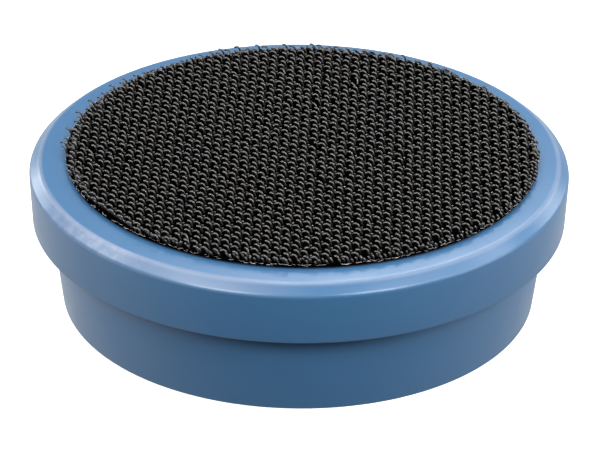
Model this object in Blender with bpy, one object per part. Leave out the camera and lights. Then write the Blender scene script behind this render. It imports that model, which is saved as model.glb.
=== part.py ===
"""Wet-side half of a magnetic glass cleaner: a sealed round puck with a hook-tape cleaning face.

Metres, +Z up. The origin is the centre of the resting face under the cup, and +Z points out of
the cleaning face. Turned pieces are spun about Z from half profiles of (radius, height) points.
"""

import math

import bmesh
import bpy
from mathutils import Matrix, Vector

# Head: the wide shell that carries the cleaning face
FLANGE_DIAMETER = 0.0800
PUCK_HEIGHT = 0.0226  # resting face to the flat of the head
FLANGE_DEPTH = 0.0093  # flat of the head to the underside of its skirt
HEAD_CHAMFER = 0.0016
SKIRT_DRAFT = 0.00035  # how much narrower the skirt is at its lower edge
SKIRT_EDGE_RADIUS = 0.0003
FACE_WALL = 0.0022
SKIRT_WALL = 0.0024

# Cup: the narrower shell that plugs into the skirt
CUP_WALL = 0.0022
CUP_FLOOR = 0.0022
CUP_DRAFT = 0.0016  # how much narrower the cup is at its foot
FOOT_EDGE_RADIUS = 0.0004
FOOT_RECESS_DEPTH = 0.0005
FOOT_RING_WIDTH = 0.0090
SPIGOT_CLEARANCE = 0.0003
RIM_CLEARANCE = 0.0003

# Snap bead on the spigot, in a groove in the skirt
BEAD_HEIGHT = 0.0006
BEAD_LENGTH = 0.0010
BEAD_BELOW_RIM = 0.0012
BEAD_CLEARANCE = 0.0003

# Seal ring, in a groove round the spigot
SEAL_SECTION = 0.0009
SEAL_GROOVE_DEPTH = 0.0012
SEAL_GROOVE_LENGTH = 0.0016
SEAL_BELOW_BEAD = 0.0012

# Cleaning face: adhesive film and hook tape, laid by hand and so a little off centre
FACE_BAND = 0.0035  # bare flat between the tape and the chamfer
TAPE_OFFSET = 0.0004
TAPE_THICKNESS = 0.00139  # woven base and hooks together
ADHESIVE_THICKNESS = 0.00015
ADHESIVE_INSET = 0.0002
BOND_LINE = 0.0001

# Magnets, their carrier and the yoke plate
MAGNET_COUNT = 8
MAGNET_DIAMETER = 0.0100
MAGNET_THICKNESS = 0.0050
MAGNET_EDGE = 0.0004
POCKET_CLEARANCE = 0.0003
CARRIER_RIM = 0.0054  # carrier's edge to the nearest point of a magnet
CARRIER_HUB_MARGIN = 0.0020  # magnets to the carrier's centre hole
CARRIER_CLEARANCE = 0.0003
YOKE_THICKNESS = 0.0010
STACK_CLEARANCE = 0.0003  # between face, carrier, yoke, screw heads and foam

# Carrier screws and the bosses they bite into
SCREW_COUNT = 4
SCREW_DIAMETER = 0.0025
SCREW_LENGTH = 0.0060
SCREW_HEAD_DIAMETER = 0.0048
SCREW_HEAD_HEIGHT = 0.0015
SCREW_RECESS_WIDTH = 0.0006
SCREW_RECESS_SPAN = 0.0024
SCREW_RECESS_DEPTH = 0.0008
SCREW_CLEARANCE = 0.0003
SCREW_EDGE_DISTANCE = 0.0044  # carrier's edge to the screws' axes
BOSS_WALL = 0.00135
BOSS_CLEARANCE = 0.0003
BOSS_ROOT = 0.0008  # how far a boss is sunk into the face wall

# Float foam
FOAM_CLEARANCE = 0.0003

# How finely round shapes are divided
TURN_STEPS = 72
SMALL_TURN_STEPS = 32
SCREW_STEPS = 20
SEAL_STEPS = 8
EDGE_STEPS = 3
SHARP_ANGLE = math.radians(35)
CUT_MARGIN = 0.0010
TOOL_TURN = math.radians(3)  # keeps a tool's corners off the edges of the piece it cuts

# Heights and radii that follow from the driving sizes
flange_radius = FLANGE_DIAMETER / 2
skirt_bottom = PUCK_HEIGHT - FLANGE_DEPTH
skirt_foot_radius = flange_radius - SKIRT_DRAFT
skirt_bore_radius = skirt_foot_radius - SKIRT_WALL
face_underside = PUCK_HEIGHT - FACE_WALL

spigot_radius = skirt_bore_radius - SPIGOT_CLEARANCE
spigot_bore_radius = spigot_radius - CUP_WALL
cup_foot_radius = spigot_radius - CUP_DRAFT
cup_foot_bore_radius = cup_foot_radius - CUP_WALL
rim_height = face_underside - RIM_CLEARANCE

bead_top = rim_height - BEAD_BELOW_RIM
bead_bottom = bead_top - BEAD_LENGTH
bead_radius = spigot_radius + BEAD_HEIGHT
seal_groove_top = bead_bottom - SEAL_BELOW_BEAD
seal_groove_bottom = seal_groove_top - SEAL_GROOVE_LENGTH
seal_groove_radius = spigot_radius - SEAL_GROOVE_DEPTH

adhesive_bottom = PUCK_HEIGHT + BOND_LINE
tape_bottom = adhesive_bottom + ADHESIVE_THICKNESS + BOND_LINE
tape_radius = flange_radius - HEAD_CHAMFER - FACE_BAND
tape_place = Vector((TAPE_OFFSET, 0, 0))

magnet_radius = MAGNET_DIAMETER / 2
carrier_top = face_underside - STACK_CLEARANCE
carrier_bottom = carrier_top - MAGNET_THICKNESS
carrier_radius = spigot_bore_radius - CARRIER_CLEARANCE
magnet_circle_radius = carrier_radius - CARRIER_RIM - magnet_radius
hub_hole_radius = magnet_circle_radius - magnet_radius - CARRIER_HUB_MARGIN
yoke_top = carrier_bottom - STACK_CLEARANCE
yoke_bottom = yoke_top - YOKE_THICKNESS

screw_radius = SCREW_DIAMETER / 2
screw_circle_radius = carrier_radius - SCREW_EDGE_DISTANCE
screw_seat = yoke_bottom - STACK_CLEARANCE
screw_head_bottom = screw_seat - SCREW_HEAD_HEIGHT
pilot_radius = screw_radius + SCREW_CLEARANCE
pilot_top = screw_seat + SCREW_LENGTH + SCREW_CLEARANCE
boss_radius = pilot_radius + BOSS_WALL

foam_bottom = CUP_FLOOR + FOAM_CLEARANCE
foam_top = screw_head_bottom - STACK_CLEARANCE


def clear_scene():
    """Removes every object, so that only the cleaner is left."""
    for obj in list(bpy.data.objects):
        bpy.data.objects.remove(obj)


def make_material(name, colour, roughness, metallic=0.0):
    """A Principled BSDF finish."""
    material = bpy.data.materials.new(name)
    material.use_nodes = True
    shader = material.node_tree.nodes["Principled BSDF"]
    shader.inputs["Base Color"].default_value = (*colour, 1)
    shader.inputs["Roughness"].default_value = roughness
    shader.inputs["Metallic"].default_value = metallic
    return material


def edge_round(centre, radius, start_angle, end_angle):
    """Points of a rounded edge in a profile, from one angle to the other."""
    points = []
    for step in range(EDGE_STEPS + 1):
        angle = start_angle + (end_angle - start_angle) * step / EDGE_STEPS
        across = centre[0] + radius * math.cos(angle)
        up = centre[1] + radius * math.sin(angle)
        points.append((across, up))
    return points


def turned_mesh(name, profile, steps, closed=False):
    """A solid spun about Z. An open profile starts and ends on the axis; a closed one makes a ring."""
    mesh = bpy.data.meshes.new(name)
    work = bmesh.new()
    verts = [work.verts.new((radius, 0, height)) for radius, height in profile]
    pairs = list(zip(verts, verts[1:]))
    if closed:
        pairs.append((verts[-1], verts[0]))
    edges = [work.edges.new(pair) for pair in pairs]
    bmesh.ops.spin(
        work,
        geom=verts + edges,
        axis=(0, 0, 1),
        cent=(0, 0, 0),
        angle=2 * math.pi,
        steps=steps,
        use_merge=True,
    )
    bmesh.ops.remove_doubles(work, verts=work.verts, dist=0.000001)
    bmesh.ops.recalc_face_normals(work, faces=work.faces)
    work.to_mesh(mesh)
    work.free()
    return mesh


def place(name, mesh, material=None, location=(0, 0, 0), angle=0.0):
    """Puts a mesh in the scene as a named piece, smooth but for its sharp edges."""
    obj = bpy.data.objects.new(name, mesh)
    bpy.context.scene.collection.objects.link(obj)
    obj.parent = puck
    obj.location = location
    obj.rotation_euler.z = angle
    mesh.shade_smooth()
    mesh.set_sharp_from_angle(angle=SHARP_ANGLE)
    if material:
        mesh.materials.append(material)
    return obj


def rod_mesh(name, radius, bottom, top, steps):
    """A plain rod along Z."""
    return turned_mesh(name, [(0, top), (radius, top), (radius, bottom), (0, bottom)], steps)


def boolean(obj, operation, tool_mesh, location, angle):
    """Joins a hidden tool to a piece, or cuts it away. The tool is no piece of the cleaner."""
    tool = place(f"{tool_mesh.name}_tool", tool_mesh, None, location, angle + TOOL_TURN)
    tool.hide_render = True
    tool.display_type = "WIRE"
    modifier = obj.modifiers.new(f"{operation.lower()}_{tool.name}", "BOOLEAN")
    modifier.object = tool
    modifier.operation = operation
    modifier.solver = "EXACT"


def on_circle(radius, index, count, first_angle=0.0):
    """The place and the angle of one of several like pieces round the axis."""
    angle = first_angle + 2 * math.pi * index / count
    return Vector((radius * math.cos(angle), radius * math.sin(angle), 0)), angle


def magnet_places():
    return [on_circle(magnet_circle_radius, i, MAGNET_COUNT) for i in range(MAGNET_COUNT)]


def screw_places():
    """The screws stand midway between two magnets."""
    half_pitch = math.pi / MAGNET_COUNT
    return [on_circle(screw_circle_radius, i, SCREW_COUNT, half_pitch) for i in range(SCREW_COUNT)]


def make_face_housing(material):
    """Head shell: flat face, chamfer, drafted skirt with a snap groove, and four screw bosses."""
    groove_top = bead_top + BEAD_CLEARANCE
    groove_bottom = bead_bottom - BEAD_CLEARANCE
    groove_radius = bead_radius + BEAD_CLEARANCE
    foot_round = edge_round(
        (skirt_foot_radius - SKIRT_EDGE_RADIUS, skirt_bottom + SKIRT_EDGE_RADIUS),
        SKIRT_EDGE_RADIUS,
        0,
        -math.pi / 2,
    )
    profile = [
        (0, PUCK_HEIGHT),
        (flange_radius - HEAD_CHAMFER, PUCK_HEIGHT),
        (flange_radius, PUCK_HEIGHT - HEAD_CHAMFER),
        *foot_round,
        (skirt_bore_radius, skirt_bottom),
        (skirt_bore_radius, groove_bottom),
        (groove_radius, groove_bottom),
        (groove_radius, groove_top),
        (skirt_bore_radius, groove_top),
        (skirt_bore_radius, face_underside),
        (0, face_underside),
    ]
    head = place("face_housing", turned_mesh("face_housing", profile, TURN_STEPS), material)
    boss_mesh = rod_mesh(
        "boss", boss_radius, carrier_bottom, face_underside + BOSS_ROOT, SCREW_STEPS
    )
    pilot_mesh = rod_mesh(
        "pilot_hole", pilot_radius, carrier_bottom - CUT_MARGIN, pilot_top, SCREW_STEPS
    )
    for spot, angle in screw_places():
        boolean(head, "UNION", boss_mesh, spot, angle)
    for spot, angle in screw_places():
        boolean(head, "DIFFERENCE", pilot_mesh, spot, angle)


def make_rear_cup(material):
    """Cup: recessed foot, drafted wall, and a spigot with a seal groove and a snap bead."""
    foot_round = edge_round(
        (cup_foot_radius - FOOT_EDGE_RADIUS, FOOT_EDGE_RADIUS),
        FOOT_EDGE_RADIUS,
        0,
        -math.pi / 2,
    )
    recess_radius = cup_foot_radius - FOOT_RING_WIDTH
    profile = [
        (0, CUP_FLOOR),
        (cup_foot_bore_radius, CUP_FLOOR),
        (spigot_bore_radius, skirt_bottom),
        (spigot_bore_radius, rim_height),
        (spigot_radius, rim_height),
        (spigot_radius, bead_top),
        (bead_radius, bead_top - BEAD_HEIGHT / 2),
        (bead_radius, bead_bottom + BEAD_HEIGHT / 2),
        (spigot_radius, bead_bottom),
        (spigot_radius, seal_groove_top),
        (seal_groove_radius, seal_groove_top),
        (seal_groove_radius, seal_groove_bottom),
        (spigot_radius, seal_groove_bottom),
        (spigot_radius, skirt_bottom),
        *foot_round,
        (recess_radius, 0),
        (recess_radius - FOOT_RECESS_DEPTH, FOOT_RECESS_DEPTH),
        (0, FOOT_RECESS_DEPTH),
    ]
    place("rear_cup", turned_mesh("rear_cup", profile, TURN_STEPS), material)


def make_seal_ring(material):
    """Round-section ring, midway between the groove's floor and the skirt."""
    centre_radius = (seal_groove_radius + skirt_bore_radius) / 2
    centre_height = (seal_groove_bottom + seal_groove_top) / 2
    profile = []
    for step in range(SEAL_STEPS):
        angle = 2 * math.pi * step / SEAL_STEPS
        across = centre_radius + SEAL_SECTION / 2 * math.cos(angle)
        up = centre_height + SEAL_SECTION / 2 * math.sin(angle)
        profile.append((across, up))
    place("seal_ring", turned_mesh("seal_ring", profile, TURN_STEPS, closed=True), material)


def make_tape(tape_material, adhesive_material):
    """Adhesive film on the face, and the hook tape on the film."""
    adhesive_mesh = rod_mesh(
        "tape_adhesive",
        tape_radius - ADHESIVE_INSET,
        adhesive_bottom,
        adhesive_bottom + ADHESIVE_THICKNESS,
        TURN_STEPS,
    )
    place("tape_adhesive", adhesive_mesh, adhesive_material, tape_place)
    tape_mesh = rod_mesh(
        "hook_tape", tape_radius, tape_bottom, tape_bottom + TAPE_THICKNESS, TURN_STEPS
    )
    place("hook_tape", tape_mesh, tape_material, tape_place)


def make_magnets(material):
    """Disc magnets with a small edge break, all from one mesh."""
    profile = [
        (0, carrier_top),
        (magnet_radius - MAGNET_EDGE, carrier_top),
        (magnet_radius, carrier_top - MAGNET_EDGE),
        (magnet_radius, carrier_bottom + MAGNET_EDGE),
        (magnet_radius - MAGNET_EDGE, carrier_bottom),
        (0, carrier_bottom),
    ]
    mesh = turned_mesh("magnet", profile, SMALL_TURN_STEPS)
    mesh.materials.append(material)
    for number, (spot, angle) in enumerate(magnet_places(), start=1):
        place(f"magnet_{number}", mesh, None, spot, angle)


def flat_ring_mesh(name, bottom, top):
    """The flat ring that both the carrier and the yoke start from."""
    profile = [
        (hub_hole_radius, top),
        (carrier_radius, top),
        (carrier_radius, bottom),
        (hub_hole_radius, bottom),
    ]
    return turned_mesh(name, profile, TURN_STEPS, closed=True)


def make_carrier(material):
    """Moulded ring with a pocket for each magnet and a hole for each boss."""
    carrier = place(
        "magnet_carrier", flat_ring_mesh("magnet_carrier", carrier_bottom, carrier_top), material
    )
    low = carrier_bottom - CUT_MARGIN
    high = carrier_top + CUT_MARGIN
    pocket_mesh = rod_mesh(
        "magnet_pocket", magnet_radius + POCKET_CLEARANCE, low, high, SMALL_TURN_STEPS
    )
    for spot, angle in magnet_places():
        boolean(carrier, "DIFFERENCE", pocket_mesh, spot, angle)
    hole_mesh = rod_mesh("boss_hole", boss_radius + BOSS_CLEARANCE, low, high, SCREW_STEPS)
    for spot, angle in screw_places():
        boolean(carrier, "DIFFERENCE", hole_mesh, spot, angle)


def make_yoke(material):
    """Steel ring with a clearance hole for each screw."""
    yoke = place("yoke_plate", flat_ring_mesh("yoke_plate", yoke_bottom, yoke_top), material)
    hole_mesh = rod_mesh(
        "screw_hole", pilot_radius, yoke_bottom - CUT_MARGIN, yoke_top + CUT_MARGIN, SCREW_STEPS
    )
    for spot, angle in screw_places():
        boolean(yoke, "DIFFERENCE", hole_mesh, spot, angle)


def recess_bar_mesh(turn):
    """One bar of a screw head's cross recess, open at the head's underside."""
    mesh = bpy.data.meshes.new("recess_bar")
    work = bmesh.new()
    bmesh.ops.create_cube(work, size=1)
    depth = SCREW_RECESS_DEPTH + CUT_MARGIN
    size = Matrix.Diagonal((SCREW_RECESS_SPAN, SCREW_RECESS_WIDTH, depth, 1))
    middle = screw_head_bottom + SCREW_RECESS_DEPTH - depth / 2
    lift = Matrix.Translation((0, 0, middle))
    work.transform(lift @ Matrix.Rotation(turn, 4, "Z") @ size)
    work.to_mesh(mesh)
    work.free()
    return mesh


def make_screws(material):
    """Pan-head screws that stand head down, from one mesh with a cross recess in each head."""
    head_radius = SCREW_HEAD_DIAMETER / 2
    shoulder = screw_head_bottom + SCREW_HEAD_HEIGHT / 2
    tip = screw_seat + SCREW_LENGTH
    head_round = []
    for step in range(1, EDGE_STEPS + 1):
        angle = math.pi / 2 * step / EDGE_STEPS
        across = head_radius * (0.5 + 0.5 * math.cos(angle))
        up = shoulder - SCREW_HEAD_HEIGHT / 2 * math.sin(angle)
        head_round.append((across, up))
    profile = [
        (0, tip),
        (screw_radius - SCREW_CLEARANCE, tip),
        (screw_radius, tip - 2 * SCREW_CLEARANCE),
        (screw_radius, screw_seat),
        (head_radius, screw_seat),
        (head_radius, shoulder),
        *head_round,
        (0, screw_head_bottom),
    ]
    mesh = turned_mesh("carrier_screw", profile, SCREW_STEPS)
    mesh.materials.append(material)
    bar_meshes = [recess_bar_mesh(0), recess_bar_mesh(math.pi / 2)]
    for number, (spot, angle) in enumerate(screw_places(), start=1):
        screw = place(f"carrier_screw_{number}", mesh, None, spot, angle)
        for bar_mesh in bar_meshes:
            boolean(screw, "DIFFERENCE", bar_mesh, spot, angle)


def make_foam(material):
    """Foam disc, tapered as the cup is."""
    taper = (spigot_bore_radius - cup_foot_bore_radius) / (skirt_bottom - CUP_FLOOR)
    low_radius = cup_foot_bore_radius - FOAM_CLEARANCE
    high_radius = low_radius + taper * (foam_top - CUP_FLOOR)
    profile = [(0, foam_top), (high_radius, foam_top), (low_radius, foam_bottom), (0, foam_bottom)]
    place("float_foam", turned_mesh("float_foam", profile, TURN_STEPS), material)


clear_scene()
puck = bpy.data.objects.new("puck", None)
bpy.context.scene.collection.objects.link(puck)

blue_plastic = make_material("blue_plastic", (0.085, 0.225, 0.440), 0.42)
black_nylon = make_material("black_nylon", (0.020, 0.020, 0.021), 0.45)
adhesive_film = make_material("adhesive_film", (0.050, 0.060, 0.085), 0.60)
black_rubber = make_material("black_rubber", (0.015, 0.015, 0.016), 0.70)
grey_plastic = make_material("grey_plastic", (0.120, 0.125, 0.130), 0.55)
nickel_plate = make_material("nickel_plate", (0.620, 0.600, 0.570), 0.22, 1.0)
zinc_steel = make_material("zinc_steel", (0.500, 0.510, 0.520), 0.38, 1.0)
white_foam = make_material("white_foam", (0.780, 0.780, 0.760), 0.90)

make_face_housing(blue_plastic)
make_rear_cup(blue_plastic)
make_seal_ring(black_rubber)
make_tape(black_nylon, adhesive_film)
make_carrier(grey_plastic)
make_magnets(nickel_plate)
make_yoke(zinc_steel)
make_screws(zinc_steel)
make_foam(white_foam)
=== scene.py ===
import math

import bmesh
import bpy
from mathutils import Matrix, Vector, noise


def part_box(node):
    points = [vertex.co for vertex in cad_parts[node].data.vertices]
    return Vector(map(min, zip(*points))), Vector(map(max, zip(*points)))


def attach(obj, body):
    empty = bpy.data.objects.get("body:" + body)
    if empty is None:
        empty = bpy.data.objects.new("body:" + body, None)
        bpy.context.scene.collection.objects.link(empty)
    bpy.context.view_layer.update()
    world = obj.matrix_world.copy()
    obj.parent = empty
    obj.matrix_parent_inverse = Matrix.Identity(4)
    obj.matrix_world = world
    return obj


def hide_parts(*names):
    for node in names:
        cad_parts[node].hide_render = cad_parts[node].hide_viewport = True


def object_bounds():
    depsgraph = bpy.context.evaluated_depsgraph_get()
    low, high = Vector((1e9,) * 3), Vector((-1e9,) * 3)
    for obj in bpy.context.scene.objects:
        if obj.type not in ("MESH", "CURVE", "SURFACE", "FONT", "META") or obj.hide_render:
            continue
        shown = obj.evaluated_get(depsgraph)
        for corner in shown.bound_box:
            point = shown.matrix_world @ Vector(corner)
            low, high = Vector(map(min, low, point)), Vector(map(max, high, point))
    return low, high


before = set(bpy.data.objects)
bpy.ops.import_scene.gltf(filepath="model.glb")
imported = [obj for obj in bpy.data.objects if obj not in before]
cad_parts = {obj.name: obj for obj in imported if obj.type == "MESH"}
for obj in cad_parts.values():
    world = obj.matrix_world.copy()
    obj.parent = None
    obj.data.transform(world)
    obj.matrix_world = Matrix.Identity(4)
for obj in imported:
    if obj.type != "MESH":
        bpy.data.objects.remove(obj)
cad_low, cad_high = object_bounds()

# ---------------------------------------------------------------------------------------------
# Studio: a sheet of white paper for a floor, in a paper-lined room, under thirteen softboxes.
# The camera is a long lens set well back, looking down on the cleaning face.
# ---------------------------------------------------------------------------------------------
MM = 0.001


def node(tree, kind, inputs=None, **settings):
    """Adds a node, with its settings and with its inputs linked or given values."""
    made = tree.nodes.new(kind)
    for name, value in settings.items():
        setattr(made, name, value)
    for name, value in (inputs or {}).items():
        if isinstance(value, bpy.types.NodeSocket):
            tree.links.new(value, made.inputs[name])
        else:
            made.inputs[name].default_value = value
    return made


def finish(name):
    """A new material with its node tree and Principled shader."""
    made = bpy.data.materials.new(name)
    made.use_nodes = True
    return made, made.node_tree, made.node_tree.nodes["Principled BSDF"]


def ramp_of(tree, value, start, end, low=0.0, high=1.0):
    """Goes from low to high as the value goes from start to end, and stays there outside them."""
    limits = {"From Min": start, "From Max": end, "To Min": low, "To Max": high}
    return node(tree, "ShaderNodeMapRange", {"Value": value, **limits}).outputs["Result"]


def tint_of(tree, value, dark, light, start=0.0, end=1.0):
    """A colour that goes from dark to light as the value goes from start to end."""
    tint = node(tree, "ShaderNodeValToRGB", {"Fac": value})
    tint.color_ramp.elements[0].position = start
    tint.color_ramp.elements[0].color = (*dark, 1)
    tint.color_ramp.elements[1].position = end
    tint.color_ramp.elements[1].color = (*light, 1)
    return tint.outputs["Color"]


def sum_of(operation, *values):
    """The result of a Math node in the tree being built."""
    return node(tree, "ShaderNodeMath", dict(enumerate(values)), operation=operation).outputs[0]


eye_distance = 0.5512
eye_elevation = math.radians(29.38)
eye_roll = math.radians(0.6)
aim = Vector((0.0002, 0, 0.0108))
eye = Vector((0, -eye_distance * math.cos(eye_elevation), eye_distance * math.sin(eye_elevation)))
camera_data = bpy.data.cameras.new("studio_camera")
camera_data.sensor_width = 36
camera_data.lens = 218.9
camera_data.clip_start = 0.01
camera = bpy.data.objects.new("studio_camera", camera_data)
bpy.context.scene.collection.objects.link(camera)
looking = (aim - eye).to_track_quat("-Z", "Y").to_matrix().to_4x4()
camera.matrix_world = Matrix.Translation(eye) @ looking @ Matrix.Rotation(eye_roll, 4, "Z")
bpy.context.scene.camera = camera

lamp_aim = Vector((0, 0, 0.012))


def softbox(name, place, width, height, power):
    """A rectangular lamp aimed at the object, lighting it without being seen itself."""
    data = bpy.data.lights.new(name, "AREA")
    data.shape = "RECTANGLE"
    data.size = width
    data.size_y = height
    data.energy = power
    lamp = bpy.data.objects.new(name, data)
    bpy.context.scene.collection.objects.link(lamp)
    turn = (lamp_aim - Vector(place)).to_track_quat("-Z", "Y").to_matrix().to_4x4()
    lamp.matrix_world = Matrix.Translation(place) @ turn
    lamp.visible_camera = False


softbox("overhead_softbox", (0, -0.02, 0.30), 0.10, 0.10, 0.25)
softbox("back_softbox", (0.07, 0.45, 0.47), 0.22, 0.18, 0.9)
softbox("back_left_strip", (-0.25, 0.27, 0.47), 0.08, 0.08, 0.32)
softbox("back_right_strip", (0.25, 0.27, 0.47), 0.08, 0.08, 0.15)
softbox("left_back_softbox", (-0.47, 0.45, 0.13), 0.20, 0.20, 0.8)
softbox("left_upper_softbox", (-0.50, 0.06, 0.40), 0.25, 0.20, 0.7)
softbox("left_high_softbox", (-0.32, -0.21, 0.52), 0.25, 0.20, 0.65)
softbox("right_back_softbox", (0.52, 0.38, 0.19), 0.20, 0.20, 0.7)
softbox("right_strip", (0.50, 0.06, 0.40), 0.14, 0.14, 0.5)
softbox("right_upper_softbox", (0.58, -0.10, 0.20), 0.35, 0.25, 1.15)
softbox("right_high_softbox", (0.40, -0.25, 0.45), 0.40, 0.40, 1.3)
softbox("front_left_softbox", (-0.35, -0.50, 0.50), 0.25, 0.25, 3.0)
softbox("front_right_softbox", (0.35, -0.50, 0.50), 0.25, 0.25, 2.7)

# The room: white paper below the horizon, darkest on the camera's side, and a dim wall above it.
world = bpy.data.worlds.new("studio_room")
world.use_nodes = True
tree = world.node_tree
background = tree.nodes["Background"]
look = node(tree, "ShaderNodeTexCoord").outputs["Generated"]
look = node(tree, "ShaderNodeSeparateXYZ", {"Vector": look}).outputs
paper = ramp_of(tree, look["Y"], -0.86, -0.05, 0.01, 0.96)
wall = ramp_of(tree, look["Y"], 0.0, 0.9, 0.15, 0.30)
above = ramp_of(tree, look["Z"], -0.05, 0.05)
fall = ramp_of(tree, look["Z"], -0.72, -0.42, 0.55, 1.0)
bias = ramp_of(tree, look["X"], -0.7, 0.7, 1.08, 0.80)
below = sum_of("MULTIPLY", sum_of("MULTIPLY", fall, bias), paper)
room = node(tree, "ShaderNodeMix", {0: above, 2: below, 3: wall}, data_type="FLOAT")
tree.links.new(room.outputs[0], background.inputs["Strength"])
background.inputs["Color"].default_value = (1, 1, 1, 1)
bpy.context.scene.world = world
bpy.context.scene.view_settings.view_transform = "Standard"

# The floor is only seen by the camera: the room's paper is what lights the object from below.
floor_paper, tree, shader = finish("floor_paper")
where = node(tree, "ShaderNodeTexCoord")
fibres = node(tree, "ShaderNodeTexNoise", {"Vector": where.outputs["Object"], "Scale": 90.0})
shade = tint_of(tree, fibres.outputs["Fac"], (0.89, 0.89, 0.89), (0.92, 0.92, 0.92))
tree.links.new(shade, shader.inputs["Base Color"])
shader.inputs["Roughness"].default_value = 0.9
shader.inputs["Specular IOR Level"].default_value = 0.1
shader.inputs["Emission Color"].default_value = (1, 1, 1, 1)
shader.inputs["Emission Strength"].default_value = 0.65
floor_gap = 0.02 * MM
floor_mesh = bpy.data.meshes.new("floor")
sheet = bmesh.new()
bmesh.ops.create_grid(sheet, x_segments=1, y_segments=1, size=3.0)
sheet.to_mesh(floor_mesh)
sheet.free()
floor_mesh.materials.append(floor_paper)
floor = bpy.data.objects.new("floor", floor_mesh)
floor.location.z = cad_low.z - floor_gap
floor.visible_glossy = False
floor.visible_diffuse = False
floor.visible_shadow = False
bpy.context.scene.collection.objects.link(floor)

# ---------------------------------------------------------------------------------------------
# Rear cup: injection-moulded satin blue plastic, drafted from its spigot down to its foot.
# The spigot carries the seal groove and the snap bead, and the underside has the gate's mark.
# ---------------------------------------------------------------------------------------------


def moulded_blue(name, seed):
    """Satin blue plastic, with a fine grain and with faint flow marks that the seed shifts."""
    made, tree, shader = finish(name)
    where = node(tree, "ShaderNodeTexCoord")
    place = node(tree, "ShaderNodeMapping", {"Vector": where.outputs["Object"], "Location": (seed, 0, 0)})
    flow = node(
        tree,
        "ShaderNodeTexNoise",
        {"Vector": place.outputs["Vector"], "Scale": 28.0, "Detail": 4.0, "Distortion": 0.6},
    )
    tint = tint_of(tree, flow.outputs["Fac"], (0.044, 0.133, 0.270), (0.048, 0.143, 0.285), 0.3, 0.75)
    tree.links.new(tint, shader.inputs["Base Color"])
    haze = node(
        tree,
        "ShaderNodeTexNoise",
        {"Vector": place.outputs["Vector"], "Scale": 140.0, "Detail": 6.0, "Roughness": 0.6},
    )
    tree.links.new(ramp_of(tree, haze.outputs["Fac"], 0.3, 0.7, 0.28, 0.36), shader.inputs["Roughness"])
    grain = node(
        tree,
        "ShaderNodeTexNoise",
        {"Vector": place.outputs["Vector"], "Scale": 2600.0, "Detail": 2.0},
    )
    bump = node(
        tree,
        "ShaderNodeBump",
        {"Height": grain.outputs["Fac"], "Strength": 0.12, "Distance": 0.04 * MM},
    )
    sink = node(
        tree,
        "ShaderNodeBump",
        {
            "Height": flow.outputs["Fac"],
            "Strength": 0.25,
            "Distance": 0.4 * MM,
            "Normal": bump.outputs["Normal"],
        },
    )
    tree.links.new(sink.outputs["Normal"], shader.inputs["Normal"])
    shader.inputs["IOR"].default_value = 1.57
    return made


def rounded(profile, radii, steps=5):
    """A profile whose corners are rounded: radii gives the size for a corner's index."""
    points = []
    for index, corner in enumerate(profile):
        radius = radii.get(index)
        if not radius:
            points.append(corner)
            continue
        here = Vector(corner)
        back = (Vector(profile[index - 1]) - here).normalized()
        on = (Vector(profile[index + 1]) - here).normalized()
        half = back.angle(on) / 2
        reach = radius / math.tan(half)
        middle = here + (back + on).normalized() * (radius / math.sin(half))
        start = here + back * reach - middle
        end = here + on * reach - middle
        sweep = start.angle_signed(end)
        for step in range(steps + 1):
            spoke = start.copy()
            spoke.rotate(Matrix.Rotation(-sweep * step / steps, 2))
            points.append(tuple(middle + spoke))
    return points


def turned(name, profile, steps):
    """A mesh spun about Z from (radius, height) points, merged and facing out."""
    mesh = bpy.data.meshes.new(name)
    work = bmesh.new()
    verts = [work.verts.new((radius, 0, height)) for radius, height in profile]
    edges = [work.edges.new(pair) for pair in zip(verts, verts[1:])]
    bmesh.ops.spin(
        work,
        geom=verts + edges,
        axis=(0, 0, 1),
        cent=(0, 0, 0),
        angle=math.tau,
        steps=steps,
        use_merge=True,
    )
    bmesh.ops.remove_doubles(work, verts=work.verts, dist=0.001 * MM)
    bmesh.ops.recalc_face_normals(work, faces=work.faces)
    work.to_mesh(mesh)
    work.free()
    return mesh


def show(name, mesh, material, sharp=35):
    """A piece in the scene, smooth but for edges sharper than the given angle."""
    piece = bpy.data.objects.new(name, mesh)
    bpy.context.scene.collection.objects.link(piece)
    mesh.materials.clear()
    mesh.materials.append(material)
    mesh.shade_smooth()
    mesh.set_sharp_from_angle(angle=math.radians(sharp))
    return piece


_, cup_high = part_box("rear_cup")
head_low, head_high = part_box("face_housing")
skirt_bottom = head_low.z
turn_steps = 288
spigot_radius = 36.95 * MM
cup_foot_radius = spigot_radius - 1.6 * MM
cup_wall = 2.2 * MM
snap_depth = 0.6 * MM
bead_bottom = 17.9 * MM
bead_top = 18.9 * MM
bead_flat_bottom = 18.2 * MM
bead_flat_top = 18.6 * MM
seal_groove_depth = 1.2 * MM
seal_groove_bottom = 15.1 * MM
seal_groove_top = 16.7 * MM
foot_ring_inner_radius = 26.3 * MM
foot_recess = 0.5 * MM
foot_recess_radius = foot_ring_inner_radius - 0.5 * MM
gate_radius = 1.4 * MM
gate_tip_radius = 1.2 * MM
gate_bottom = 0.2 * MM
cup_profile = [
    (0, cup_wall),
    (cup_foot_radius - cup_wall, cup_wall),
    (spigot_radius - cup_wall, skirt_bottom),
    (spigot_radius - cup_wall, cup_high.z),
    (spigot_radius, cup_high.z),
    (spigot_radius, bead_top),
    (spigot_radius + snap_depth, bead_flat_top),
    (spigot_radius + snap_depth, bead_flat_bottom),
    (spigot_radius, bead_bottom),
    (spigot_radius, seal_groove_top),
    (spigot_radius - seal_groove_depth, seal_groove_top),
    (spigot_radius - seal_groove_depth, seal_groove_bottom),
    (spigot_radius, seal_groove_bottom),
    (spigot_radius, skirt_bottom),
    (cup_foot_radius, 0),
    (foot_ring_inner_radius, 0),
    (foot_recess_radius, foot_recess),
    (gate_radius, foot_recess),
    (gate_tip_radius, gate_bottom),
    (0, gate_bottom),
]
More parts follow.
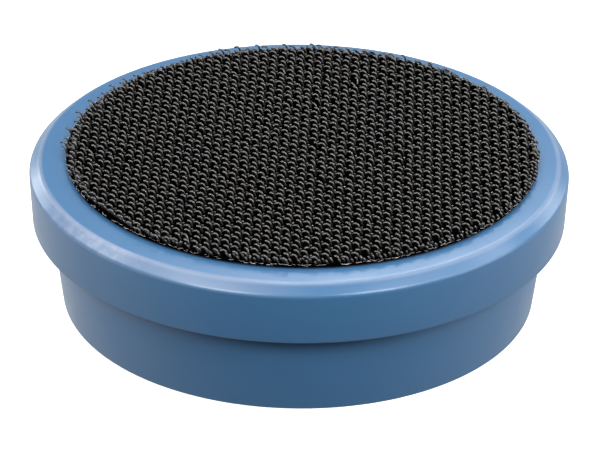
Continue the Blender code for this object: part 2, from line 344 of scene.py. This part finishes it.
# How far each corner of the profile is rounded, by its place in the list.
cup_rounds = {
    1: 0.8 * MM,
    3: 0.3 * MM,
    4: 0.3 * MM,
    14: 0.45 * MM,
    15: 0.15 * MM,
    16: 0.2 * MM,
    18: 0.15 * MM,
}
blue_cup = moulded_blue("satin_blue_cup", 3.0)
cup_mesh = turned("rear_cup_shell", rounded(cup_profile, cup_rounds), turn_steps)
rear_cup = show("rear_cup_shell", cup_mesh, blue_cup)
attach(rear_cup, "root")
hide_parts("rear_cup")

# ---------------------------------------------------------------------------------------------
# Float foam: a disc of white closed-cell foam, die-cut with a tapered edge and dropped loose
# into the cup, where it takes up the room so that the half floats if it comes off the glass.
# ---------------------------------------------------------------------------------------------


def grained(name, dark, light, size, polish, relief, stretch=(1, 1, 1), metal=0.0):
    """A material whose colour, polish and surface all vary with one grain of the given size."""
    made, tree, shader = finish(name)
    where = node(tree, "ShaderNodeTexCoord")
    laid = node(tree, "ShaderNodeMapping", {"Vector": where.outputs["Object"], "Scale": stretch})
    grain = node(
        tree,
        "ShaderNodeTexNoise",
        {"Vector": laid.outputs["Vector"], "Scale": 1 / size, "Detail": 5.0, "Roughness": 0.6},
    )
    tint = tint_of(tree, grain.outputs["Fac"], dark, light, 0.35, 0.65)
    tree.links.new(tint, shader.inputs["Base Color"])
    tree.links.new(ramp_of(tree, grain.outputs["Fac"], 0.3, 0.7, *polish), shader.inputs["Roughness"])
    bump = node(
        tree,
        "ShaderNodeBump",
        {"Height": grain.outputs["Fac"], "Strength": 0.6, "Distance": relief},
    )
    tree.links.new(bump.outputs["Normal"], shader.inputs["Normal"])
    shader.inputs["Metallic"].default_value = metal
    return made


white_foam = grained(
    "closed_cell_foam",
    dark=(0.62, 0.62, 0.59),
    light=(0.80, 0.80, 0.77),
    size=4 * MM,
    polish=(0.85, 0.95),
    relief=0.1 * MM,
)
# The cut cells pit its surface.
tree = white_foam.node_tree
shader = tree.nodes["Principled BSDF"]
where = node(tree, "ShaderNodeTexCoord")
cells = node(tree, "ShaderNodeTexVoronoi", {"Vector": where.outputs["Object"], "Scale": 1500.0})
pits = node(
    tree,
    "ShaderNodeBump",
    {"Height": cells.outputs["Distance"], "Strength": 0.8, "Distance": 0.2 * MM},
)
tree.links.new(pits.outputs["Normal"], shader.inputs["Normal"])

foam_low, foam_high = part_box("float_foam")
foam_taper = 1.05 * MM
foam_top_radius = foam_high.x - 0.25 * MM
foam_foot_radius = foam_top_radius - foam_taper
foam_bottom = foam_low.z + 0.05 * MM
foam_top = foam_high.z - 0.1 * MM
foam_crown = 0.5 * MM
foam_rings = 17
foam_profile = [(0, foam_top)]
for ring in range(1, foam_rings):
    out = ring / foam_rings
    foam_profile.append((out * foam_top_radius, foam_top - foam_crown * out**4))
foam_profile += [
    (foam_top_radius - 0.2 * MM, foam_top - 0.8 * MM),
    (foam_top_radius - 0.1 * MM, foam_top - 2.4 * MM),
    ((foam_top_radius + foam_foot_radius) / 2 + 0.1 * MM, (foam_top + foam_bottom) / 2),
    (foam_foot_radius + 0.05 * MM, foam_bottom + 1.6 * MM),
    (foam_foot_radius - 0.4 * MM, foam_bottom),
    (0, foam_bottom),
]
# Only its upper and lower edges are rounded.
foam_rounds = {foam_rings: 0.5 * MM, foam_rings + 4: 0.4 * MM}
foam_mesh = turned("float_foam_disc", rounded(foam_profile, foam_rounds), turn_steps // 2)
# Its skin is a little wavy above the flat bottom.
foam_wave = 0.08 * MM
for vert in foam_mesh.vertices:
    waves = noise.noise(vert.co * 180) + 0.5 * noise.noise(vert.co * 700)
    if vert.co.z > foam_bottom + 0.2 * MM:
        vert.co -= vert.co.normalized() * foam_wave * (1 + waves)
foam = show("float_foam_disc", foam_mesh, white_foam, sharp=70)
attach(foam, "root")
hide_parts("float_foam")

# ---------------------------------------------------------------------------------------------
# Yoke plate: a ring stamped from zinc-plated mild steel sheet, with a hole for each screw.
# It lies flat against the magnets' backs, closes their field and is held by the screw heads.
# ---------------------------------------------------------------------------------------------


def dress(name, material):
    """Gives a piece that keeps its modelled shape its finished material."""
    for place in bpy.data.objects[name].material_slots:
        place.material = material


rolled_zinc = grained(
    "rolled_zinc_plate",
    dark=(0.36, 0.37, 0.39),
    light=(0.56, 0.57, 0.58),
    size=3 * MM,
    polish=(0.30, 0.48),
    relief=0.03 * MM,
    stretch=(1, 14, 1),
    metal=1.0,
)
dress("yoke_plate", rolled_zinc)

# ---------------------------------------------------------------------------------------------
# Magnet carrier: a flat ring moulded in grey plastic, with a round pocket for each magnet and
# a hole that drops over each boss. Four screws pull it and the yoke plate up to the face.
# ---------------------------------------------------------------------------------------------
grey_moulding = grained(
    "grey_moulded_plastic",
    dark=(0.095, 0.100, 0.106),
    light=(0.150, 0.155, 0.160),
    size=1.2 * MM,
    polish=(0.42, 0.62),
    relief=0.05 * MM,
)
dress("magnet_carrier", grey_moulding)

# ---------------------------------------------------------------------------------------------
# Magnets: eight sintered neodymium discs, nickel plated, with a tumbled edge. Each is pressed
# into its pocket in the carrier and is scuffed a little from the press.
# ---------------------------------------------------------------------------------------------
nickel = grained(
    "nickel_plating",
    dark=(0.52, 0.50, 0.46),
    light=(0.68, 0.66, 0.62),
    size=0.8 * MM,
    polish=(0.14, 0.30),
    relief=0.01 * MM,
    stretch=(1, 5, 1),
    metal=1.0,
)
magnet_count = 8
for number in range(1, magnet_count + 1):
    dress(f"magnet_{number}", nickel)

# ---------------------------------------------------------------------------------------------
# Carrier screws: pan-head thread-forming screws in zinc-plated steel, with a cross recess.
# They go up through the yoke plate and the carrier and bite into the bosses under the face.
# ---------------------------------------------------------------------------------------------
screw_zinc = grained(
    "screw_zinc_plate",
    dark=(0.40, 0.41, 0.42),
    light=(0.60, 0.60, 0.58),
    size=0.5 * MM,
    polish=(0.26, 0.44),
    relief=0.01 * MM,
    stretch=(1, 1, 6),
    metal=1.0,
)
screw_count = 4
screw_places = []
for number in range(1, screw_count + 1):
    dress(f"carrier_screw_{number}", screw_zinc)
    low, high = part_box(f"carrier_screw_{number}")
    screw_places.append(Vector(((low.x + high.x) / 2, (low.y + high.y) / 2, 0)))

# ---------------------------------------------------------------------------------------------
# Seal ring: an o-ring moulded in black nitrile rubber, with a faint bloom. It is rolled into
# the groove round the cup's spigot and is squeezed there when the head snaps on.
# ---------------------------------------------------------------------------------------------
nitrile = grained(
    "black_nitrile",
    dark=(0.010, 0.010, 0.011),
    light=(0.030, 0.030, 0.031),
    size=0.7 * MM,
    polish=(0.50, 0.80),
    relief=0.02 * MM,
)
dress("seal_ring", nitrile)

# ---------------------------------------------------------------------------------------------
# Head housing: the wide shell, moulded in the same blue, with a soft chamfer round a flat face
# and a groove inside its skirt that snaps over the cup's bead. Four bosses under the face take
# the carrier's screws.
# ---------------------------------------------------------------------------------------------
flange_radius = head_high.x
face_height = head_high.z
face_wall = 2.2 * MM
skirt_wall = 2.4 * MM
skirt_draft = 0.35 * MM
skirt_foot_radius = flange_radius - skirt_draft
skirt_bore_radius = skirt_foot_radius - skirt_wall
face_underside = face_height - face_wall
chamfer_size = 1.6 * MM
ridge_radius = flange_radius - chamfer_size
seat_radius = 34.6 * MM
snap_groove_bottom = 17.6 * MM
snap_groove_top = 19.2 * MM
crown_drop = 0.17 * MM
crown_steps = 6
crown = []
for step in range(1, crown_steps):
    out = step / crown_steps
    crown.append((seat_radius + (ridge_radius - seat_radius) * out, face_height - crown_drop * out**2))
head_profile = [
    (0, face_height),
    (seat_radius, face_height),
    *crown,
    (ridge_radius, face_height - crown_drop),
    (flange_radius, face_height - chamfer_size),
    (skirt_foot_radius, skirt_bottom),
    (skirt_bore_radius, skirt_bottom),
    (skirt_bore_radius, snap_groove_bottom),
    (skirt_bore_radius + snap_depth, snap_groove_bottom),
    (skirt_bore_radius + snap_depth, snap_groove_top),
    (skirt_bore_radius, snap_groove_top),
    (skirt_bore_radius, face_underside),
    (0, face_underside),
]
# The chamfer's two corners are rounded the most, and then the two edges at the skirt's foot.
head_rounds = {7: 0.80 * MM, 8: 0.90 * MM, 9: 0.35 * MM, 10: 0.2 * MM}
blue_head = moulded_blue("satin_blue_head", 0.0)

# A pale patch on the front-left of the chamfer is a painted highlight, mottled towards the left, and a
# pale ring along the ridge round the face is a painted highlight that widens the ridge's bright line.
highlight_side = (-0.56, -0.83)
tree = blue_head.node_tree
shader = tree.nodes["Principled BSDF"]
where = node(tree, "ShaderNodeTexCoord")
x, y, z = node(tree, "ShaderNodeSeparateXYZ", {"Vector": where.outputs["Object"]}).outputs
radius = sum_of("SQRT", sum_of("ADD", sum_of("POWER", x, 2.0), sum_of("POWER", y, 2.0)))
past_ridge = ramp_of(tree, radius, ridge_radius - 0.2 * MM, ridge_radius + 0.3 * MM)
above_side = ramp_of(tree, z, face_height - 2.0 * MM, face_height - 1.3 * MM)
on_chamfer = sum_of("MULTIPLY", past_ridge, above_side)
toward = sum_of("MULTIPLY", x, highlight_side[0] / flange_radius)
toward = sum_of("ADD", toward, sum_of("MULTIPLY", y, highlight_side[1] / flange_radius))
# The chamfer's painted highlight fades in towards its front-left.
highlight_patch = sum_of("MULTIPLY", on_chamfer, ramp_of(tree, toward, 0.78, 0.92))
highlight_noise = node(
    tree,
    "ShaderNodeTexNoise",
    {
        "Vector": where.outputs["Object"],
        "Scale": 520.0,
        "Detail": 5.0,
        "Roughness": 0.65,
        "Distortion": 0.3,
    },
)
mottle = ramp_of(tree, highlight_noise.outputs["Fac"], 0.42, 0.66)
mottled_highlight = sum_of("MULTIPLY", mottle, ramp_of(tree, x, -20 * MM, -27 * MM))
# A pale ring along the ridge is a painted highlight, widening the bright line that the lamps draw there.
off_ridge = sum_of("ABSOLUTE", sum_of("SUBTRACT", radius, ridge_radius))
near_ridge = ramp_of(tree, off_ridge, 0.48 * MM, 0.12 * MM)
ridge_highlight = sum_of("MULTIPLY", near_ridge, ramp_of(tree, z, 20 * MM, 21 * MM))
ridge_highlight = sum_of("MULTIPLY", ridge_highlight, sum_of("MULTIPLY_ADD", highlight_noise.outputs["Fac"], 0.12, 0.12))
painted_highlight = sum_of("MULTIPLY", highlight_patch, sum_of("ADD", 0.12, sum_of("MULTIPLY", mottled_highlight, 0.16)))
painted_highlight = sum_of("ADD", painted_highlight, ridge_highlight)
# The pale colour mixed into the blue is the painted highlights' colour.
highlight_mix = node(tree, "ShaderNodeMix", {0: painted_highlight, 7: (0.62, 0.60, 0.65, 1)}, data_type="RGBA")
tree.links.new(shader.inputs["Base Color"].links[0].from_socket, highlight_mix.inputs[6])
tree.links.new(highlight_mix.outputs[2], shader.inputs["Base Color"])

head_mesh = turned("head_housing_shell", rounded(head_profile, head_rounds), turn_steps)
head = show("head_housing_shell", head_mesh, blue_head)
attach(head, "root")
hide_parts("face_housing")

# The bosses run a little way into the face, as one moulding does, and each has a blind pilot hole.
pilot_radius = 1.55 * MM
pilot_end = 19.8 * MM
boss_radius = 2.9 * MM
boss_foot = 15.1 * MM
boss_root = face_underside + 0.1 * MM
boss_profile = [
    (0, pilot_end),
    (pilot_radius, pilot_end),
    (pilot_radius, boss_foot),
    (boss_radius, boss_foot),
    (boss_radius, boss_root),
    (0, boss_root),
]
one_boss = turned("one_boss", rounded(boss_profile, {2: 0.15 * MM, 3: 0.2 * MM}, 3), 48)
boss_mesh = bpy.data.meshes.new("screw_bosses")
work = bmesh.new()
for spot in screw_places:
    one_boss.transform(Matrix.Translation(spot))
    work.from_mesh(one_boss)
    one_boss.transform(Matrix.Translation(-spot))
work.to_mesh(boss_mesh)
work.free()
bosses = show("screw_bosses", boss_mesh, blue_head)
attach(bosses, "root")
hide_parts("face_housing")

# ---------------------------------------------------------------------------------------------
# Tape adhesive: a thin disc of dark acrylic film, punched with the tape and a little smaller.
# It bonds the tape to the face, and shows only as a dark line under the tape's cut edge.
# ---------------------------------------------------------------------------------------------
acrylic_film = grained(
    "acrylic_film",
    dark=(0.010, 0.014, 0.028),
    light=(0.022, 0.030, 0.055),
    size=0.9 * MM,
    polish=(0.35, 0.60),
    relief=0.02 * MM,
)
dress("tape_adhesive", acrylic_film)

# ---------------------------------------------------------------------------------------------
# Hook tape: a disc punched out of woven nylon tape and stuck on by hand, a little off centre.
# A tight black weave is the ground; stiff monofilament loops stand in rows on it, and each was
# cut through beside its top, which leaves a hook on one side and a short stub on the other.
# ---------------------------------------------------------------------------------------------
tape_low, tape_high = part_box("hook_tape")
tape_radius = (tape_high.x - tape_low.x) / 2
tape_centre = Vector(((tape_high.x + tape_low.x) / 2, (tape_high.y + tape_low.y) / 2, 0))
weave_top = tape_low.z + 0.35 * MM
row_turn = math.radians(36.7)
pitch_across = 1.81 * MM
pitch_along = 2.28 * MM
filament_radius = 0.16 * MM


def field_inputs(tree, inputs):
    """Gives a geometry tree its output and its named inputs, and returns the inputs' sockets."""
    tree.interface.new_socket("Geometry", in_out="OUTPUT", socket_type="NodeSocketGeometry")
    kinds = {float: "NodeSocketFloat", int: "NodeSocketInt", bpy.types.Material: "NodeSocketMaterial"}
    for name, value in inputs.items():
        socket = tree.interface.new_socket(name, in_out="INPUT", socket_type=kinds[type(value)])
        socket.default_value = value
    return node(tree, "NodeGroupInput").outputs


def grown(name, tree, values):
    """The plain mesh that a geometry tree makes from these values."""
    seedling = bpy.data.meshes.new(name + "_seedling")
    holder = bpy.data.objects.new(name + "_maker", seedling)
    bpy.context.scene.collection.objects.link(holder)
    modifier = holder.modifiers.new("grow", "NODES")
    modifier.node_group = tree
    for item in tree.interface.items_tree:
        if item.in_out == "INPUT" and item.name in values:
            modifier[item.identifier] = values[item.name]
    graph = bpy.context.evaluated_depsgraph_get()
    mesh = bpy.data.meshes.new_from_object(holder.evaluated_get(graph))
    mesh.name = name
    bpy.data.objects.remove(holder)
    bpy.data.meshes.remove(seedling)
    return mesh


black_filament, tree, shader = finish("black_monofilament")
where = node(tree, "ShaderNodeTexCoord")
batch = node(
    tree,
    "ShaderNodeTexNoise",
    {"Vector": where.outputs["Object"], "Scale": 700.0, "Detail": 2.0},
)
dye = tint_of(tree, batch.outputs["Fac"], (0.011, 0.010, 0.009), (0.020, 0.018, 0.016))
tree.links.new(dye, shader.inputs["Base Color"])
tree.links.new(ramp_of(tree, batch.outputs["Fac"], 0.3, 0.7, 0.32, 0.46), shader.inputs["Roughness"])
# The stems lose their shine towards the weave: painted shade, for the shade that the crowded rows cast
# down there.
height = node(tree, "ShaderNodeSeparateXYZ", {"Vector": where.outputs["Object"]}).outputs["Z"]
shine_above_shade = ramp_of(tree, height, weave_top + 0.12 * MM, weave_top + 0.50 * MM)
tree.links.new(sum_of("MULTIPLY", shine_above_shade, 0.5), shader.inputs["Specular IOR Level"])
shader.inputs["IOR"].default_value = 2.00

tree = bpy.data.node_groups.new("filament_rows", "GeometryNodeTree")
given = field_inputs(
    tree,
    {
        "Bare radius": 0.0,
        "Pad radius": 0.0349,
        "Pitch across": 0.0018,
        "Pitch along": 0.0023,
        "Shift across": 0.0,
        "Shift along": 0.0,
        "Row turn": 0.0,
        "Facing": 0.0,
        "Foot reach": 0.0,
        "Stem height": 0.0004,
        "Stem splay": 0.0001,
        "Crook radius": 0.0005,
        "Crook sweep": 2.5,
        "Filament radius": 0.0001,
        "Rings": 10,
        "Seed": 0,
        "Material": black_filament,
    },
)


def random_in(low, high, seed, kind="FLOAT_VECTOR"):
    """A random value for each point, from the tree's own seed and this one."""
    own_seed = sum_of("ADD", given["Seed"], seed)
    made = node(tree, "FunctionNodeRandomValue", {"Seed": own_seed}, data_type=kind)
    # The node has its limits for vectors first and its limits for numbers after them.
    first = 0 if kind == "FLOAT_VECTOR" else 2
    made.inputs[first].default_value = low
    made.inputs[first + 1].default_value = high
    return made.outputs[first // 2]


# One filament: straight up its stem, then round its crook to the cut end.
bend = sum_of("MULTIPLY", given["Crook radius"], given["Crook sweep"])
length = sum_of("ADD", given["Stem height"], bend)
line = node(tree, "GeometryNodeCurvePrimitiveLine", {"End": (0, 0, 1)})
line = node(tree, "GeometryNodeResampleCurve", {"Curve": line.outputs[0], "Count": given["Rings"]})
along = sum_of("MULTIPLY", node(tree, "GeometryNodeSplineParameter").outputs["Factor"], length)
up_stem = sum_of("MINIMUM", along, given["Stem height"])
round_crook = sum_of("DIVIDE", sum_of("SUBTRACT", along, up_stem), given["Crook radius"])
splay = sum_of("SUBTRACT", 1.0, sum_of("DIVIDE", up_stem, given["Stem height"]))
splay = sum_of("MULTIPLY", splay, given["Stem splay"])
across = sum_of("MULTIPLY", sum_of("COSINE", round_crook), given["Crook radius"])
rise = sum_of("MULTIPLY", sum_of("SINE", round_crook), given["Crook radius"])
spot = node(
    tree,
    "ShaderNodeCombineXYZ",
    {"X": sum_of("ADD", across, splay), "Z": sum_of("ADD", up_stem, rise)},
)
line = node(tree, "GeometryNodeSetPosition", {"Geometry": line.outputs[0], "Position": spot.outputs[0]})
wire = node(
    tree,
    "GeometryNodeCurvePrimitiveCircle",
    {"Resolution": 6, "Radius": given["Filament radius"]},
)
filament = node(
    tree,
    "GeometryNodeCurveToMesh",
    {"Curve": line.outputs[0], "Profile Curve": wire.outputs[0], "Fill Caps": True},
)

# The rows: a grid over the tape, turned as the disc was stuck on, kept inside the punched edge.
grid_reach = 2.5
span = sum_of("MULTIPLY", given["Pad radius"], grid_reach)
count_across = sum_of("CEIL", sum_of("DIVIDE", span, given["Pitch across"]))
count_along = sum_of("CEIL", sum_of("DIVIDE", span, given["Pitch along"]))
rows = node(
    tree,
    "GeometryNodeMeshGrid",
    {
        "Size X": sum_of("MULTIPLY", count_across, given["Pitch across"]),
        "Size Y": sum_of("MULTIPLY", count_along, given["Pitch along"]),
        "Vertices X": sum_of("ADD", count_across, 1.0),
        "Vertices Y": sum_of("ADD", count_along, 1.0),
    },
)
shift = node(tree, "ShaderNodeCombineXYZ", {"X": given["Shift across"], "Y": given["Shift along"]})
rows = node(tree, "GeometryNodeTransform", {"Geometry": rows.outputs[0], "Translation": shift.outputs[0]})
turn = node(tree, "ShaderNodeCombineXYZ", {"Z": given["Row turn"]})
rows = node(tree, "GeometryNodeTransform", {"Geometry": rows.outputs[0], "Rotation": turn.outputs[0]})
stray_most = 0.07 * MM
stray = random_in((-stray_most, -stray_most, 0), (stray_most, stray_most, 0), 0)
rows = node(tree, "GeometryNodeSetPosition", {"Geometry": rows.outputs[0], "Offset": stray})
place = node(tree, "GeometryNodeInputPosition").outputs[0]
foot = node(
    tree,
    "ShaderNodeCombineXYZ",
    {
        "X": sum_of("MULTIPLY", sum_of("COSINE", given["Facing"]), given["Foot reach"]),
        "Y": sum_of("MULTIPLY", sum_of("SINE", given["Facing"]), given["Foot reach"]),
    },
)
foot = node(tree, "ShaderNodeVectorMath", {0: place, 1: foot.outputs[0]}, operation="ADD")
reach = node(tree, "ShaderNodeVectorMath", {0: foot.outputs[0]}, operation="LENGTH").outputs["Value"]
outside = sum_of("GREATER_THAN", reach, given["Pad radius"])
outside = sum_of("ADD", outside, sum_of("LESS_THAN", reach, given["Bare radius"]))
rows = node(tree, "GeometryNodeDeleteGeometry", {"Geometry": rows.outputs[0], "Selection": outside})

# Every filament leans and turns a little its own way, and a few were bent over in use.
share_unbent = 0.965
more_lean_when_bent = 3.0
lean = random_in((-0.10, -0.08, -0.16), (0.10, 0.08, 0.16), 11)
bent = sum_of("GREATER_THAN", random_in(0.0, 1.0, 23, "FLOAT"), share_unbent)
wildness = sum_of("ADD", 1.0, sum_of("MULTIPLY", bent, more_lean_when_bent))
lean = node(tree, "ShaderNodeVectorMath", {0: lean, "Scale": wildness}, operation="SCALE")
facing = node(tree, "ShaderNodeCombineXYZ", {"Z": given["Facing"]})
lean = node(tree, "ShaderNodeVectorMath", {0: lean.outputs[0], 1: facing.outputs[0]}, operation="ADD")
field = node(
    tree,
    "GeometryNodeInstanceOnPoints",
    {
        "Points": rows.outputs[0],
        "Instance": filament.outputs[0],
        "Rotation": lean.outputs[0],
        "Scale": random_in(0.93, 1.0, 37, "FLOAT"),
    },
)
field = node(tree, "GeometryNodeRealizeInstances", {"Geometry": field.outputs[0]})
field = node(
    tree,
    "GeometryNodeSetMaterial",
    {"Geometry": field.outputs[0], "Material": given["Material"]},
)
node(tree, "NodeGroupOutput", {"Geometry": field.outputs[0]})

# Each cell of the weave holds two hooks and a stub. The hooks that the punch cut short crowd the edge.
row_values = {
    "Pad radius": tape_radius - 0.05 * MM,
    "Pitch across": pitch_across,
    "Pitch along": pitch_along,
    "Row turn": row_turn,
    "Filament radius": filament_radius,
}
crook_top = tape_high.z - weave_top - filament_radius
crook_radius = 0.50 * MM
stem_splay = 0.18 * MM
fields = {
    "hooks_first_row": {
        "Facing": math.radians(-14),
        "Foot reach": 0.60 * MM,
        "Crook radius": crook_radius,
        "Stem height": crook_top - crook_radius,
        "Crook sweep": math.radians(140),
        "Stem splay": stem_splay,
        "Seed": 101,
    },
    "hooks_second_row": {
        "Shift across": 0.542 * pitch_across,
        "Shift along": -0.595 * pitch_along,
        "Facing": math.radians(-16),
        "Foot reach": 0.56 * MM,
        "Crook radius": crook_radius,
        "Stem height": crook_top - crook_radius,
        "Crook sweep": math.radians(112),
        "Stem splay": stem_splay,
        "Seed": 211,
    },
    "cut_stubs": {
        "Shift across": 0.176 * pitch_across,
        "Shift along": 0.544 * pitch_along,
        "Stem height": 0.60 * MM,
        "Stem splay": 0.0,
        "Crook radius": 0.001 * MM,
        "Crook sweep": 0.01,
        "Rings": 3,
        "Seed": 307,
    },
    "punched_hooks": {
        "Bare radius": tape_radius - 1.1 * MM,
        "Pad radius": tape_radius - 0.12 * MM,
        "Pitch across": 0.43 * pitch_across,
        "Pitch along": 0.36 * pitch_along,
        "Facing": math.radians(-15),
        "Crook radius": 0.40 * MM,
        "Stem height": crook_top - 0.75 * MM,
        "Crook sweep": math.radians(75),
        "Rings": 6,
        "Seed": 401,
    },
}
for name, changes in fields.items():
    mesh = grown(name, tree, {**row_values, **changes})
    mesh.transform(Matrix.Translation(tape_centre + Vector((0, 0, weave_top))))
    hooks = show(name, mesh, black_filament, sharp=80)
    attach(hooks, "root")
    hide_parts("hook_tape")

# The ground: weft ribs under the hooks' rows, over a finer weave that only the material shows.
black_weave, tree, shader = finish("black_nylon_weave")
where = node(tree, "ShaderNodeTexCoord")
laid = node(
    tree,
    "ShaderNodeMapping",
    {"Vector": where.outputs["Object"], "Rotation": (0, 0, -row_turn)},
    vector_type="POINT",
)
warp = node(
    tree,
    "ShaderNodeTexWave",
    {"Vector": laid.outputs["Vector"], "Scale": 700.0, "Distortion": 0.6},
)
weft = node(
    tree,
    "ShaderNodeTexWave",
    {"Vector": laid.outputs["Vector"], "Scale": 900.0, "Distortion": 0.6},
    bands_direction="Y",
)
woven = sum_of("MULTIPLY", warp.outputs["Fac"], weft.outputs["Fac"])
# Its colour is far darker than black nylon, with no shine: the nylon's own black and painted shade from
# the hooks crowded over it.
yarn_and_shade_tint = tint_of(tree, woven, (0.0004, 0.0004, 0.0004), (0.0020, 0.0020, 0.0020))
tree.links.new(yarn_and_shade_tint, shader.inputs["Base Color"])
relief = node(tree, "ShaderNodeBump", {"Height": woven, "Strength": 0.8, "Distance": 0.12 * MM})
tree.links.new(relief.outputs["Normal"], shader.inputs["Normal"])
shader.inputs["Roughness"].default_value = 0.75
shader.inputs["Specular IOR Level"].default_value = 0.0

grid_step = 0.35 * MM
steps_out = 100
rib_height = 0.07 * MM
cross_rib = 0.6
ground_mesh = bpy.data.meshes.new("tape_ground")
work = bmesh.new()
bmesh.ops.create_grid(
    work,
    x_segments=2 * steps_out,
    y_segments=2 * steps_out,
    size=steps_out * grid_step,
)
# The disc is cut out of the grid, and the vertices of its stepped edge are pulled to the circle.
kept_radius = tape_radius - 0.3 * grid_step
beyond = [face for face in work.faces if face.calc_center_median().length > kept_radius]
bmesh.ops.delete(work, geom=beyond, context="FACES")
lower = bmesh.ops.extrude_face_region(work, geom=work.faces[:], use_keep_orig=True)["geom"]
lower = {item for item in lower if isinstance(item, bmesh.types.BMVert)}
rim = {vert for edge in work.edges for vert in edge.verts if edge.calc_face_angle(0) > 1.0}
for vert in work.verts:
    reach = Vector((vert.co.x, vert.co.y)).length
    if vert in rim:
        vert.co.x *= tape_radius / reach
        vert.co.y *= tape_radius / reach
    if vert in lower:
        vert.co.z = tape_low.z
        continue
    x = vert.co.x * math.cos(row_turn) + vert.co.y * math.sin(row_turn)
    y = vert.co.y * math.cos(row_turn) - vert.co.x * math.sin(row_turn)
    ribs = math.cos(math.tau * 2 * y / pitch_along)
    ribs += cross_rib * math.cos(math.tau * 2 * x / pitch_across)
    vert.co.z = weave_top - rib_height + rib_height * ribs / (1 + cross_rib)
bmesh.ops.recalc_face_normals(work, faces=work.faces)
work.to_mesh(ground_mesh)
work.free()
ground_mesh.transform(Matrix.Translation(tape_centre))
tape_ground = show("tape_ground", ground_mesh, black_weave)
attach(tape_ground, "root")
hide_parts("hook_tape")

# The cut edge: the weave's fine yarns fray where the punch went through, paler where they broke.
frayed_fibre = grained(
    "frayed_fibre",
    dark=(0.05, 0.045, 0.045),
    light=(0.62, 0.56, 0.55),
    size=0.5 * MM,
    polish=(0.4, 0.7),
    relief=0.01 * MM,
)
tree = bpy.data.node_groups.new("frayed_edge", "GeometryNodeTree")
given = field_inputs(
    tree,
    {
        "Edge radius": 0.0349,
        "Places": 700,
        "Kept": 0.5,
        "Fibre length": 0.001,
        "Fibre radius": 0.00003,
        "Edge height": 0.0003,
        "Seed": 0,
        "Material": frayed_fibre,
    },
)
line = node(tree, "GeometryNodeCurvePrimitiveLine", {"Start": (0, -0.5, 0), "End": (0, 0.5, 0)})
line = node(tree, "GeometryNodeResampleCurve", {"Curve": line.outputs[0], "Count": 4})
half_wave = 3.1
fibre_bow = 0.12
along = node(tree, "GeometryNodeSplineParameter").outputs["Factor"]
swing = sum_of("MULTIPLY", sum_of("SINE", sum_of("MULTIPLY", along, half_wave)), fibre_bow)
spot = node(
    tree,
    "ShaderNodeCombineXYZ",
    {
        "X": sum_of("MULTIPLY", swing, given["Fibre length"]),
        "Y": sum_of("MULTIPLY", sum_of("SUBTRACT", along, 0.5), given["Fibre length"]),
    },
)
line = node(tree, "GeometryNodeSetPosition", {"Geometry": line.outputs[0], "Position": spot.outputs[0]})
wire = node(tree, "GeometryNodeCurvePrimitiveCircle", {"Resolution": 4, "Radius": given["Fibre radius"]})
fibre = node(
    tree,
    "GeometryNodeCurveToMesh",
    {"Curve": line.outputs[0], "Profile Curve": wire.outputs[0], "Fill Caps": True},
)
edge = node(tree, "GeometryNodeMeshCircle", {"Vertices": given["Places"], "Radius": given["Edge radius"]})
bare = sum_of("GREATER_THAN", random_in(0.0, 1.0, 3, "FLOAT"), given["Kept"])
edge = node(tree, "GeometryNodeDeleteGeometry", {"Geometry": edge.outputs[0], "Selection": bare})
place = node(tree, "GeometryNodeInputPosition").outputs[0]
axes = node(tree, "ShaderNodeSeparateXYZ", {"Vector": place})
round_edge = sum_of("ARCTAN2", axes.outputs["Y"], axes.outputs["X"])
loose = random_in((-0.20, 0.0, -0.35), (0.20, 1.0, 0.35), 7)
loose = node(tree, "ShaderNodeSeparateXYZ", {"Vector": loose})
turn = node(
    tree,
    "ShaderNodeCombineXYZ",
    {"X": loose.outputs["X"], "Z": sum_of("ADD", round_edge, loose.outputs["Z"])},
)
lift = sum_of("MULTIPLY", loose.outputs["Y"], given["Edge height"])
lift = node(tree, "ShaderNodeCombineXYZ", {"Z": lift})
edge = node(tree, "GeometryNodeSetPosition", {"Geometry": edge.outputs[0], "Offset": lift.outputs[0]})
fray = node(
    tree,
    "GeometryNodeInstanceOnPoints",
    {
        "Points": edge.outputs[0],
        "Instance": fibre.outputs[0],
        "Rotation": turn.outputs[0],
        "Scale": random_in(0.35, 1.0, 19, "FLOAT"),
    },
)
fray = node(tree, "GeometryNodeRealizeInstances", {"Geometry": fray.outputs[0]})
fray = node(tree, "GeometryNodeSetMaterial", {"Geometry": fray.outputs[0], "Material": given["Material"]})
node(tree, "NodeGroupOutput", {"Geometry": fray.outputs[0]})

fibre_foot = tape_low.z + 0.20 * MM
fray_values = {
    "Edge radius": tape_radius,
    "Places": 620,
    "Kept": 0.55,
    "Fibre length": 0.9 * MM,
    "Fibre radius": 0.035 * MM,
    "Edge height": 0.28 * MM,
    "Seed": 503,
}
mesh = grown("frayed_edge", tree, fray_values)
mesh.transform(Matrix.Translation(tape_centre + Vector((0, 0, fibre_foot))))
frayed_edge = show("frayed_edge", mesh, frayed_fibre, sharp=80)
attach(frayed_edge, "root")
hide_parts("hook_tape")
